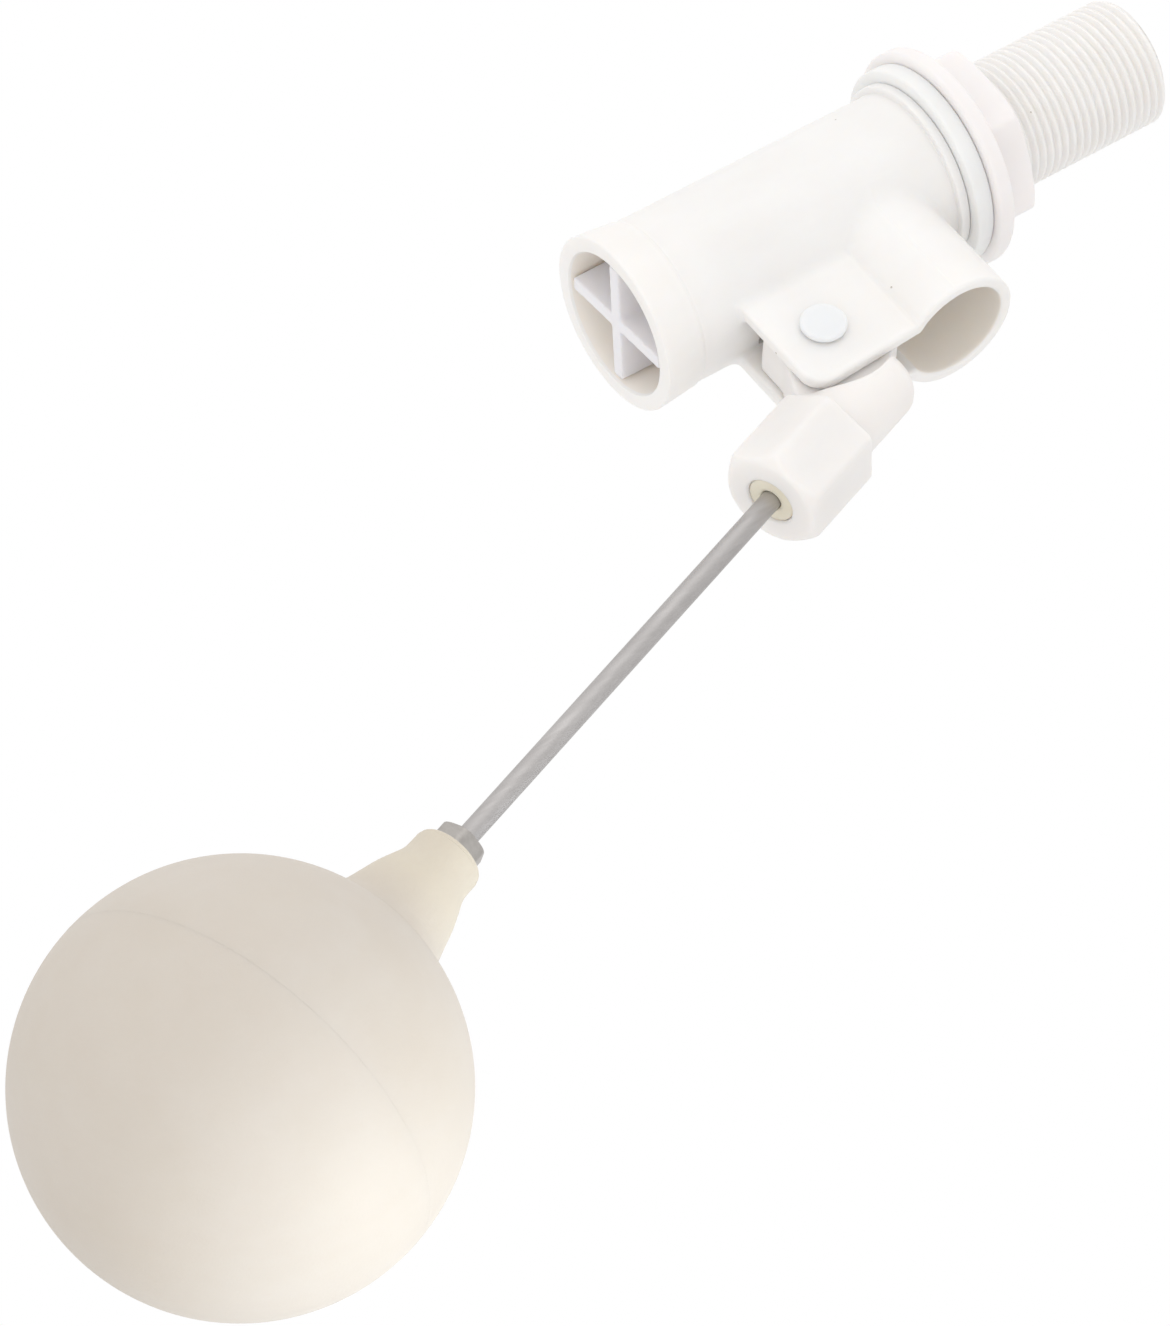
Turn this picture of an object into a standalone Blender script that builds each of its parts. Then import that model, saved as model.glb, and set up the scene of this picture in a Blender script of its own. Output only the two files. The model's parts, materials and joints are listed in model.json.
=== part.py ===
"""Side-entry float valve, G 3/4 inlet, with an 80 mm ball float on a 4 mm rod.

Frame: origin on the barrel's axis, at the flange face that seats against the tank wall's washer.
+X runs out along the inlet thread, +Z is up, and the outlet faces -Z. Lengths below are in millimetres.
Every turned piece is drawn as (x, radius) points about its own X axis.
"""

import math

import bmesh
import bpy

MM = 0.001
CLEARANCE = 0.3

# Valve body
BARREL_END = -70.4
BARREL_RADIUS = 16.9
BORE_RADIUS = 14.5
BORE_FLOOR = -5.0
COLLAR_RADIUS = 18.1
COLLAR_FOOT_RADIUS = 17.25
COLLAR_FOOT = -61.9
BODY_FLANGE_RADIUS = 18.3
BODY_FLANGE_THICK = 2.0
THREAD_RADIUS = 13.2
THREAD_CHAMFER = 1.0
INLET_LENGTH = 52.2
INLET_BORE_RADIUS = 9.6

# Hood: two cheeks that run into the outlet tube
OUTLET_X = -17.36
OUTLET_OUTER = 12.75
OUTLET_INNER = 10.35
OUTLET_MOUTH = -37.2
OUTLET_PORT_RADIUS = 9.5
CHEEK_FRONT = -52.4
CHEEK_FOOT = -38.7
CHEEK_CREASE = -27.1
CHEEK_OUTER = 8.0
CHEEK_INNER = 5.3
CHEEK_CORNER_RADIUS = 5.0
SHOULDER_X = -18.9
SHOULDER_Y = 12.6

# Lever and its pin
PIVOT_X = -42.3
PIVOT_Z = -27.5
PIN_RADIUS = 2.5
PIN_HOLE_RADIUS = 2.8
PIN_HEAD_RADIUS = 4.5
PIN_HEAD_THICK = 1.4
ARM_DROP_DEG = 19.6
ROD_OFFSET = 12.35
FLOAT_DISTANCE = 195.48
LEVER_HALF_WIDTH = 4.9
LEVER_HUB_RADIUS = 7.8
BOSS_RADIUS = 7.9
BOSS_FRONT = -15.2
BOSS_BACK = 4.0
BOSS_ROUNDING = 4.0
STUB_RADIUS = 7.2
STUB_FRONT = -28.5
CHEEK_SWEEP_RADIUS = 13.8
ROD_SOCKET_RADIUS = 2.25
ROD_SOCKET_END = -0.5
FINGER_LEAN_DEG = 7.6
FINGER_REACH = 23.5
FINGER_TIP_RADIUS = 3.0
FINGER_SHANK = 2.2
FINGER_ROOT = 3.4
FINGER_HALF_WIDTH = 3.5
SLOT_FRONT = -48.5
SLOT_BACK = -36.1
SLOT_HALF_WIDTH = 4.2

# Piston and the closing parts
PISTON_TAIL = -69.9
RIB_RADIUS = 13.9
RIB_THICK = 3.0
RIB_TURN_DEG = -7.0
PISTON_COLLAR_RADIUS = 14.15
PISTON_CORE_RADIUS = 10.0
PISTON_SPIGOT_RADIUS = 8.6
FINGER_SLOT_X = -47.3
NOZZLE_LIP_RADIUS = 6.5
NOZZLE_ORIFICE = 4.5
ORING_RADIUS = 8.6
ORING_THICK = 0.7
ORING_X = 2.2

# Gland nut and rod, along the rod's axis from the point beside the pin
ROD_RADIUS = 2.0
GLAND_FRONT = -35.08
GLAND_BACK = -15.48
GLAND_CORNER = 11.2
GLAND_TURN_DEG = -4.7
GLAND_STEP = -31.98

# Float, along the rod's axis from the ball's centre
FLOAT_RADIUS = 40.0
FLOAT_WALL = 1.6
NECK_RADIUS = 6.8
NECK_TOP = 60.5
NECK_BORE = 4.5
SHELL_GAP = 0.15
ROD_START = 48.0
ROD_END = 186.0
LOCK_NUT_CORNER = 5.2
LOCK_NUT_TURN_DEG = 12.0
LOCK_NUT_START = 60.8
LOCK_NUT_END = 64.4

# Tank fixings
WASHER_RADIUS = 20.7
WASHER_THICK = 3.4
NUT_FLANGE_RADIUS = 22.6
NUT_CORNER = 19.5
NUT_HEX_TURN_DEG = -25.5
NUT_SEAT = 4.0
NUT_STEP = 7.6
NUT_END = 16.2

FINE = 44
MEDIUM = 32
COARSE = 22


def clear_scene():
    for old in list(bpy.data.objects):
        bpy.data.objects.remove(old, do_unlink=True)


def surface(name, colour, roughness, metallic=0.0):
    """A Principled BSDF material."""
    made = bpy.data.materials.new(name)
    made.use_nodes = True
    shader = made.node_tree.nodes["Principled BSDF"]
    shader.inputs["Base Color"].default_value = (*colour, 1.0)
    shader.inputs["Roughness"].default_value = roughness
    shader.inputs["Metallic"].default_value = metallic
    return made


def placed(name, bm, material, parent=None, at=(0.0, 0.0, 0.0)):
    """Turn a bmesh drawn in millimetres into an object in metres, with its faces pointing out."""
    bmesh.ops.recalc_face_normals(bm, faces=bm.faces)
    bmesh.ops.scale(bm, vec=(MM, MM, MM), verts=bm.verts)
    mesh = bpy.data.meshes.new(name)
    bm.to_mesh(mesh)
    bm.free()
    mesh.shade_smooth()
    mesh.set_sharp_from_angle(angle=math.radians(35))
    piece = bpy.data.objects.new(name, mesh)
    bpy.context.scene.collection.objects.link(piece)
    piece.location = [value * MM for value in at]
    piece.parent = parent
    if material:
        mesh.materials.append(material)
    return piece


def combine(target, other, operation):
    """Join, cut or intersect with a helper that isn't itself shown."""
    other.hide_render = True
    other.display_type = "WIRE"
    step = target.modifiers.new(other.name, "BOOLEAN")
    step.operation = operation
    step.object = other


def arc(centre, radius, start_deg, end_deg, steps):
    """Points along a circular arc, both ends included."""
    points = []
    for i in range(steps + 1):
        angle = math.radians(start_deg + (end_deg - start_deg) * i / steps)
        points.append((centre[0] + radius * math.cos(angle), centre[1] + radius * math.sin(angle)))
    return points


def turned(outline, segments):
    """Turn a closed (x, radius) outline about X. A point of radius 0 becomes a pole."""
    bm = bmesh.new()
    rings = []
    for x, radius in outline:
        if radius == 0:
            rings.append([bm.verts.new((x, 0, 0))] * segments)
            continue
        ring = []
        for i in range(segments):
            angle = 2 * math.pi * i / segments
            ring.append(bm.verts.new((x, radius * math.cos(angle), radius * math.sin(angle))))
        rings.append(ring)
    for here, there in zip(rings, rings[1:] + rings[:1]):
        for i in range(segments):
            after = (i + 1) % segments
            corners = list(dict.fromkeys([here[i], here[after], there[after], there[i]]))
            if len(corners) > 2:
                bm.faces.new(corners)
    return bm


def prism(outline, low, high, axis):
    """Extrude a flat outline: (x, y) points along Z, (x, z) points along Y, or (y, z) points along X."""
    spread = {
        "x": lambda a, b, h: (h, a, b),
        "y": lambda a, b, h: (a, h, b),
        "z": lambda a, b, h: (a, b, h),
    }[axis]
    bm = bmesh.new()
    below = [bm.verts.new(spread(a, b, low)) for a, b in outline]
    above = [bm.verts.new(spread(a, b, high)) for a, b in outline]
    bm.faces.new(below)
    bm.faces.new(above)
    for i in range(len(outline)):
        after = (i + 1) % len(outline)
        bm.faces.new([below[i], below[after], above[after], above[i]])
    return bm


def hexagon(corner_radius, turn_deg):
    """Corners of a hexagon as (y, z) points."""
    points = []
    for i in range(6):
        angle = math.radians(turn_deg + 60 * i)
        points.append((corner_radius * math.cos(angle), corner_radius * math.sin(angle)))
    return points


def hood_plan():
    """Plan of the hood's wall, closed: outside round the outlet, then back along the inside."""
    shoulder = math.degrees(math.atan2(SHOULDER_Y, SHOULDER_X - OUTLET_X))
    throat = math.degrees(math.pi - math.asin(CHEEK_INNER / OUTLET_INNER))
    front = CHEEK_FRONT - 3
    outside = arc((OUTLET_X, 0), OUTLET_OUTER, shoulder, -shoulder, 26)
    inside = arc((OUTLET_X, 0), OUTLET_INNER, -throat, throat, 30)
    return (
        [(front, CHEEK_OUTER), (CHEEK_CREASE, CHEEK_OUTER)]
        + outside
        + [(CHEEK_CREASE, -CHEEK_OUTER), (front, -CHEEK_OUTER), (front, -CHEEK_INNER)]
        + inside
        + [(front, CHEEK_INNER)]
    )


def hood_side():
    """Side view of the hood: the cheeks' rounded front corner and sloping foot."""
    top = -6.0
    centre = (CHEEK_FRONT + CHEEK_CORNER_RADIUS, CHEEK_FOOT + CHEEK_CORNER_RADIUS)
    corner = arc(centre, CHEEK_CORNER_RADIUS, 180, 270, 8)
    foot_end = CHEEK_CREASE + 2.0
    return [(CHEEK_FRONT, top)] + corner + [(foot_end, OUTLET_MOUTH), (0.0, OUTLET_MOUTH), (0.0, top)]


def valve_body(material):
    """The barrel, flange and spigot are one turned tube; the hood is trimmed to end inside its wall."""
    flange = -BODY_FLANGE_THICK
    tube = [
        (BARREL_END, BORE_RADIUS + 0.35),
        (BARREL_END, COLLAR_RADIUS - 0.4),
        (BARREL_END + 0.4, COLLAR_RADIUS),
        (COLLAR_FOOT, COLLAR_FOOT_RADIUS),
        (COLLAR_FOOT + 1, BARREL_RADIUS),
        (flange, BARREL_RADIUS),
        (flange, BODY_FLANGE_RADIUS),
        (0, BODY_FLANGE_RADIUS),
        (0, THREAD_RADIUS),
        (INLET_LENGTH - THREAD_CHAMFER, THREAD_RADIUS),
        (INLET_LENGTH, THREAD_RADIUS - THREAD_CHAMFER),
        (INLET_LENGTH, INLET_BORE_RADIUS),
        (BORE_FLOOR, INLET_BORE_RADIUS),
        (BORE_FLOOR, BORE_RADIUS),
        (BARREL_END + 0.8, BORE_RADIUS),
    ]
    mid_wall = (BORE_RADIUS + BARREL_RADIUS) / 2
    trim = [(CHEEK_FRONT - 5, 0), (CHEEK_FRONT - 5, mid_wall), (0, mid_wall), (0, 0)]
    slot = [
        (SLOT_FRONT, -SLOT_HALF_WIDTH),
        (SLOT_BACK, -SLOT_HALF_WIDTH),
        (SLOT_BACK, SLOT_HALF_WIDTH),
        (SLOT_FRONT, SLOT_HALF_WIDTH),
    ]
    port = arc((OUTLET_X, 0), OUTLET_PORT_RADIUS, 0, 350, 35)
    pin_hole = arc((PIVOT_X, PIVOT_Z), PIN_HOLE_RADIUS, 0, 345, 23)
    hood = placed("hood_shape", prism(hood_plan(), -45, -8, "z"), None)
    combine(hood, placed("hood_limit", prism(hood_side(), -20, 20, "y"), None), "INTERSECT")
    combine(hood, placed("hood_trim", turned(trim, MEDIUM), None), "DIFFERENCE")
    body = placed("valve_body", turned(tube, FINE), material)
    combine(body, hood, "UNION")
    combine(body, placed("slot_cut", prism(slot, -20, -5, "z"), None), "DIFFERENCE")
    combine(body, placed("port_cut", prism(port, -20, -5, "z"), None), "DIFFERENCE")
    combine(body, placed("pin_hole_cut", prism(pin_hole, -20, 20, "y"), None), "DIFFERENCE")
    return body


def pivot_pin(material):
    """Snap-in pin: drawn along local X, then turned to lie along Y with its head on the near side."""
    head = CHEEK_OUTER + CLEARANCE
    tail = head
    outline = [
        (-head - PIN_HEAD_THICK, 0),
        (-head - PIN_HEAD_THICK, PIN_HEAD_RADIUS - 0.5),
        (-head - PIN_HEAD_THICK + 0.5, PIN_HEAD_RADIUS),
        (-head, PIN_HEAD_RADIUS),
        (-head, PIN_RADIUS),
        (tail, PIN_RADIUS),
        (tail, 3.1),
        (tail + 0.8, 3.1),
        (tail + 3.2, 2.0),
        (tail + 3.2, 0),
    ]
    pin = placed("pivot_pin", turned(outline, COARSE), material, at=(PIVOT_X, 0, PIVOT_Z))
    pin.rotation_euler = (0, 0, math.radians(90))
    slit = [(5.5, -0.45), (14, -0.45), (14, 0.45), (5.5, 0.45)]
    cutter = placed("slit_cut", prism(slit, -5, 5, "y"), None, at=(PIVOT_X, 0, PIVOT_Z))
    cutter.rotation_euler = pin.rotation_euler
    combine(pin, cutter, "DIFFERENCE")
    return pin


def seat_nozzle(material):
    groove = ORING_X - 1.0
    outline = [
        (-14.0, NOZZLE_ORIFICE + 0.9),
        (-13.6, NOZZLE_LIP_RADIUS - 0.9),
        (-11.5, NOZZLE_LIP_RADIUS),
        (-8.3, NOZZLE_LIP_RADIUS),
        (-8.3, BORE_RADIUS - CLEARANCE - 0.1),
        (BORE_FLOOR - CLEARANCE, BORE_RADIUS - CLEARANCE - 0.1),
        (BORE_FLOOR - CLEARANCE, INLET_BORE_RADIUS - CLEARANCE),
        (groove, INLET_BORE_RADIUS - CLEARANCE),
        (groove, 7.6),
        (groove + 2, 7.6),
        (groove + 2, INLET_BORE_RADIUS - CLEARANCE),
        (7.2, INLET_BORE_RADIUS - CLEARANCE),
        (8.0, INLET_BORE_RADIUS - CLEARANCE - 0.8),
        (8.0, 6.6),
        (0.0, NOZZLE_ORIFICE),
        (-13.6, NOZZLE_ORIFICE),
    ]
    return placed("seat_nozzle", turned(outline, MEDIUM), material)


def nozzle_oring(material):
    section = arc((ORING_X, ORING_RADIUS), ORING_THICK, 0, 324, 9)
    return placed("nozzle_oring", turned(section, MEDIUM), material)


def piston(material):
    """Cross-ribbed tail, two collars, a slotted core for the finger and a spigot for the cap."""
    outline = [
        (-56.0, 0),
        (-56.0, PISTON_COLLAR_RADIUS - 0.4),
        (-55.6, PISTON_COLLAR_RADIUS),
        (-52.5, PISTON_COLLAR_RADIUS),
        (-52.5, PISTON_CORE_RADIUS),
        (-36.5, PISTON_CORE_RADIUS),
        (-36.5, PISTON_COLLAR_RADIUS),
        (-33.5, PISTON_COLLAR_RADIUS),
        (-33.5, PISTON_SPIGOT_RADIUS),
        (-28.0, PISTON_SPIGOT_RADIUS),
        (-27.5, PISTON_SPIGOT_RADIUS - 0.5),
        (-27.5, 0),
    ]
    made = placed("piston", turned(outline, MEDIUM), material)
    half = RIB_THICK / 2
    reach = math.sqrt(RIB_RADIUS**2 - half**2)
    cross = []
    for quarter in range(4):
        for along, across in ((half, -half), (reach, -half), (RIB_RADIUS, 0), (reach, half)):
            angle = math.radians(90 * quarter + RIB_TURN_DEG)
            cross.append(
                (
                    along * math.cos(angle) - across * math.sin(angle),
                    along * math.sin(angle) + across * math.cos(angle),
                )
            )
    combine(made, placed("cross_shape", prism(cross, PISTON_TAIL, -55.0, "x"), None), "UNION")
    slot = [
        (FINGER_SLOT_X - 3.2, 1.5),
        (FINGER_SLOT_X - 3.2, -8),
        (FINGER_SLOT_X - 4.9, -14.2),
        (FINGER_SLOT_X - 4.9, -18),
        (FINGER_SLOT_X + 4.9, -18),
        (FINGER_SLOT_X + 4.9, -14.2),
        (FINGER_SLOT_X + 3.2, -8),
        (FINGER_SLOT_X + 3.2, 1.5),
    ]
    combine(made, placed("finger_slot_cut", prism(slot, -4.0, 4.0, "y"), None), "DIFFERENCE")
    return made


def piston_cap(material):
    inner = PISTON_SPIGOT_RADIUS + CLEARANCE
    outline = [
        (-33.2, inner),
        (-33.2, 13.2),
        (-23.0, 13.2),
        (-22.4, 12.6),
        (-22.4, 7.6),
        (-23.9, 7.6),
        (-23.9, inner),
    ]
    return placed("piston_cap", turned(outline, MEDIUM), material)


def piston_washer(material):
    outline = [(-27.2, 0), (-27.2, PISTON_SPIGOT_RADIUS), (-24.2, PISTON_SPIGOT_RADIUS), (-24.2, 0)]
    return placed("piston_washer", turned(outline, MEDIUM), material)


def lever_plate():
    """Side view of the lever's core, about the pin, with the rod's axis along X.

    The upper front corner is cut back so that it lies just under the barrel when the float is up.
    """
    front = [
        (BOSS_FRONT, -ROD_OFFSET - BOSS_RADIUS + 0.4),
        (BOSS_FRONT, -ROD_OFFSET + BOSS_RADIUS),
        (-10.0, -1.6),
        (-6.3, 8.9),
        (-5.4, 9.5),
        (-0.9, 9.85),
        (3.3, 9.3),
    ]
    hub = arc((0, 0), LEVER_HUB_RADIUS, 55, -20, 10)
    end = arc((BOSS_BACK - BOSS_ROUNDING, -ROD_OFFSET), BOSS_RADIUS - 0.3, 0, -90, 6)
    return front + hub + end


def lever_finger():
    """Side view of the finger: a tapering shank and a round tip."""
    shoulder = 11.5
    neck = FINGER_REACH - 2
    root = [(-FINGER_ROOT, 2), (FINGER_ROOT, 2)]
    back = [(FINGER_SHANK, shoulder), (FINGER_SHANK, neck)]
    tip = arc((0, FINGER_REACH), FINGER_TIP_RADIUS, -40, 220, 16)
    front = [(-FINGER_SHANK, neck), (-FINGER_SHANK, shoulder)]
    return root + back + tip + front


def lever(arm, material):
    """The lever's origin is the pin's axis."""
    plate = prism(lever_plate(), -LEVER_HALF_WIDTH, LEVER_HALF_WIDTH, "y")
    made = placed("lever", plate, material, arm)
    bend = BOSS_BACK - BOSS_ROUNDING
    boss = [
        (STUB_FRONT, 0),
        (STUB_FRONT, STUB_RADIUS - 0.5),
        (STUB_FRONT + 0.8, STUB_RADIUS),
        (BOSS_FRONT, STUB_RADIUS),
        (BOSS_FRONT, BOSS_RADIUS),
    ]
    for i in range(6):
        angle = math.radians(90 - 18 * i)
        rounding = BOSS_RADIUS - BOSS_ROUNDING + BOSS_ROUNDING * math.sin(angle)
        boss.append((bend + BOSS_ROUNDING * math.cos(angle), rounding))
    boss.append((BOSS_BACK, 0))
    rod_line = (0, 0, -ROD_OFFSET)
    combine(made, placed("boss_shape", turned(boss, MEDIUM), None, arm, rod_line), "UNION")
    blade = prism(lever_finger(), -FINGER_HALF_WIDTH, FINGER_HALF_WIDTH, "y")
    finger = placed("finger_shape", blade, None, arm)
    finger.rotation_euler = (0, math.radians(FINGER_LEAN_DEG), 0)
    combine(made, finger, "UNION")
    sweep = arc((0, 0), CHEEK_SWEEP_RADIUS, 0, 352, 44)
    for side in (-1, 1):
        near = side * LEVER_HALF_WIDTH
        far = side * (BOSS_RADIUS + 2)
        disc = prism(sweep, min(near, far), max(near, far), "y")
        combine(made, placed("sweep_cut", disc, None, arm), "DIFFERENCE")
    pin_hole = prism(arc((0, 0), PIN_HOLE_RADIUS, 0, 345, 23), -8, 8, "y")
    combine(made, placed("lever_pin_cut", pin_hole, None, arm), "DIFFERENCE")
    socket = [
        (STUB_FRONT - 2, 0),
        (STUB_FRONT - 2, 5.4),
        (STUB_FRONT, 5.4),
        (STUB_FRONT + 4.3, 3.9),
        (STUB_FRONT + 4.3, ROD_SOCKET_RADIUS),
        (ROD_SOCKET_END, ROD_SOCKET_RADIUS),
        (ROD_SOCKET_END, 0),
    ]
    socket_cut = placed("socket_cut", turned(socket, COARSE), None, arm, rod_line)
    combine(made, socket_cut, "DIFFERENCE")
    return made


def rod_collet(arm, material):
    """Split collet: a nose in the nut's mouth, a flange and a cone in the stub's mouth."""
    outline = [
        (-33.9, ROD_RADIUS + CLEARANCE),
        (-33.9, 4.5),
        (-31.6, 4.5),
        (-31.6, 7.0),
        (-30.0, 7.0),
        (-30.0, 5.5),
        (-24.5, 3.5),
        (-24.5, ROD_RADIUS + CLEARANCE),
    ]
    return placed("rod_collet", turned(outline, COARSE), material, arm, (0, 0, -ROD_OFFSET))


def gland_nut(arm, material):
    """Hexagon nut with a chamfered front, over the collet and the lever's stub."""
    at = (0, 0, -ROD_OFFSET)
    block = prism(hexagon(GLAND_CORNER, GLAND_TURN_DEG), GLAND_FRONT, GLAND_BACK, "x")
    made = placed("gland_nut", block, material, arm, at)
    envelope = [
        (GLAND_FRONT - 1, 0),
        (GLAND_FRONT - 1, 9.2),
        (GLAND_FRONT + 1.0, GLAND_CORNER),
        (GLAND_BACK - 0.4, GLAND_CORNER + 0.2),
        (GLAND_BACK + 1, GLAND_CORNER - 0.5),
        (GLAND_BACK + 1, 0),
    ]
    combine(made, placed("gland_envelope", turned(envelope, MEDIUM), None, arm, at), "INTERSECT")
    hollow = [
        (GLAND_FRONT - 2, 0),
        (GLAND_FRONT - 2, 4.9),
        (GLAND_STEP, 4.9),
        (GLAND_STEP, STUB_RADIUS + CLEARANCE),
        (GLAND_BACK + 2, STUB_RADIUS + CLEARANCE),
        (GLAND_BACK + 2, 0),
    ]
    hollow_cut = placed("gland_hollow", turned(hollow, COARSE), None, arm, at)
    combine(made, hollow_cut, "DIFFERENCE")
    return made


def float_rod(arm, material):
    start = ROD_START - FLOAT_DISTANCE
    end = ROD_END - FLOAT_DISTANCE
    outline = [
        (start, 0),
        (start, ROD_RADIUS - 0.4),
        (start + 0.4, ROD_RADIUS),
        (end - 0.4, ROD_RADIUS),
        (end, ROD_RADIUS - 0.4),
        (end, 0),
    ]
    return placed("float_rod", turned(outline, COARSE), material, arm, (0, 0, -ROD_OFFSET))


def float_insert(ball, material):
    bore = ROD_RADIUS + CLEARANCE - 0.05
    outline = [(46, 0), (46, 4.2), (60.2, 4.2), (60.2, bore), (47.6, bore), (47.6, 0)]
    return placed("float_insert", turned(outline, COARSE), material, ball)


def float_lock_nut(ball, material):
    outline = hexagon(LOCK_NUT_CORNER, LOCK_NUT_TURN_DEG)
    block = prism(outline, LOCK_NUT_START, LOCK_NUT_END, "x")
    made = placed("float_lock_nut", block, material, ball)
    bore = ROD_RADIUS + CLEARANCE
    hole = [(60, 0), (60, bore), (66, bore), (66, 0)]
    combine(made, placed("lock_nut_hole", turned(hole, COARSE), None, ball), "DIFFERENCE")
    return made


def float_upper_shell(ball, material):
    """Half ball with the neck: the outside, then the neck's pocket and the inside."""
    outer_gap = math.degrees(math.asin(SHELL_GAP / FLOAT_RADIUS))
    outside = arc((0, 0), FLOAT_RADIUS, 90 - outer_gap, 20.5, 11)
    neck = [
        (40.2, 12.1),
        (42.6, 11.0),
        (45.5, 10.2),
        (49.5, 9.1),
        (52.5, 7.9),
        (55.0, 7.1),
        (59.7, NECK_RADIUS),
    ]
    pocket = [(NECK_TOP, NECK_RADIUS - 0.7), (NECK_TOP, NECK_BORE), (45.7, NECK_BORE), (45.7, 3.0)]
    inner = FLOAT_RADIUS - FLOAT_WALL
    inner_gap = math.degrees(math.asin(SHELL_GAP / inner))
    inside = arc((0, 0), inner, math.degrees(math.asin(3.0 / inner)), 90 - inner_gap, 12)
    return placed("float_upper_shell", turned(outside + neck + pocket + inside, FINE), material, ball)


def float_lower_shell(ball, material):
    outer_gap = math.degrees(math.asin(SHELL_GAP / FLOAT_RADIUS))
    inner = FLOAT_RADIUS - FLOAT_WALL
    inner_gap = math.degrees(math.asin(SHELL_GAP / inner))
    outside = arc((0, 0), FLOAT_RADIUS, 90 + outer_gap, 180, 13)
    inside = arc((0, 0), inner, 180, 90 + inner_gap, 12)
    outside[-1] = (-FLOAT_RADIUS, 0)
    inside[0] = (-inner, 0)
    return placed("float_lower_shell", turned(outside + inside, FINE), material, ball)


def tank_washer(material):
    inner = THREAD_RADIUS + 0.4
    low = CLEARANCE
    high = CLEARANCE + WASHER_THICK
    outline = [
        (low, inner),
        (low, WASHER_RADIUS - 0.4),
        (low + 0.4, WASHER_RADIUS),
        (high - 0.4, WASHER_RADIUS),
        (high, WASHER_RADIUS - 0.4),
        (high, inner),
    ]
    return placed("tank_washer", turned(outline, FINE), material)


def backnut(material):
    """Round flange against the washer and a chamfered hexagon behind it."""
    outline = hexagon(NUT_CORNER, NUT_HEX_TURN_DEG)
    made = placed("backnut", prism(outline, NUT_SEAT + 1, NUT_END, "x"), material)
    chamfer = [
        (NUT_SEAT + 0.5, 0),
        (NUT_SEAT + 0.5, NUT_CORNER + 1),
        (NUT_END - 1.3, NUT_CORNER + 0.1),
        (NUT_END + 0.5, NUT_CORNER - 3.1),
        (NUT_END + 0.5, 0),
    ]
    combine(made, placed("nut_chamfer", turned(chamfer, FINE), None), "INTERSECT")
    flange = [
        (NUT_SEAT, 0),
        (NUT_SEAT, NUT_FLANGE_RADIUS - 0.5),
        (NUT_SEAT + 0.5, NUT_FLANGE_RADIUS),
        (NUT_STEP - 0.5, NUT_FLANGE_RADIUS),
        (NUT_STEP, NUT_FLANGE_RADIUS - 0.5),
        (NUT_STEP, 0),
    ]
    combine(made, placed("nut_flange", turned(flange, FINE), None), "UNION")
    bore = THREAD_RADIUS + CLEARANCE
    hole = [(0, 0), (0, bore), (NUT_END + 2, bore), (NUT_END + 2, 0)]
    combine(made, placed("nut_hole", turned(hole, FINE), None), "DIFFERENCE")
    return made


def empty(name, at, parent=None):
    made = bpy.data.objects.new(name, None)
    bpy.context.scene.collection.objects.link(made)
    made.location = [value * MM for value in at]
    made.parent = parent
    return made


def main():
    clear_scene()
    white = surface("body_plastic", (0.92, 0.91, 0.90), 0.42)
    bluish = surface("piston_plastic", (0.82, 0.82, 0.87), 0.40)
    pin_white = surface("pin_plastic", (0.90, 0.92, 0.94), 0.38)
    collet_yellow = surface("collet_plastic", (0.83, 0.77, 0.62), 0.45)
    rubber = surface("seal_rubber", (0.05, 0.05, 0.05), 0.75)
    disc = surface("washer_plastic", (0.93, 0.93, 0.92), 0.50)
    ball_cream = surface("float_plastic", (0.86, 0.82, 0.77), 0.55)
    nut_white = surface("backnut_plastic", (0.92, 0.90, 0.90), 0.42)
    steel = surface("rod_steel", (0.62, 0.62, 0.62), 0.32, 1.0)
    brass = surface("insert_brass", (0.72, 0.58, 0.32), 0.35, 1.0)

    valve_body(white)
    seat_nozzle(white)
    nozzle_oring(rubber)
    pivot_pin(pin_white)
    piston(bluish)
    piston_cap(bluish)
    piston_washer(rubber)
    tank_washer(disc)
    backnut(nut_white)

    arm = empty("arm", (PIVOT_X, 0, PIVOT_Z))
    arm.rotation_euler = (0, math.radians(-ARM_DROP_DEG), 0)
    lever(arm, white)
    rod_collet(arm, collet_yellow)
    gland_nut(arm, white)
    float_rod(arm, steel)
    ball = empty("ball", (-FLOAT_DISTANCE, 0, -ROD_OFFSET), arm)
    float_insert(ball, brass)
    float_lock_nut(ball, steel)
    float_upper_shell(ball, ball_cream)
    float_lower_shell(ball, ball_cream)


main()
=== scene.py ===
"""Looks for the float valve: fine moulded meshes, procedural plastics and metals, camera and studio light.

Shapes are drawn in millimetres. Turned pieces are outlines of (x, radius, rounding) about their own X axis.
Moulded pieces are distance fields, meshed by surface nets and then moved exactly onto the field's surface.
"""

import json
import math

import bpy
import numpy as np
from mathutils import Matrix, Vector


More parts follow.
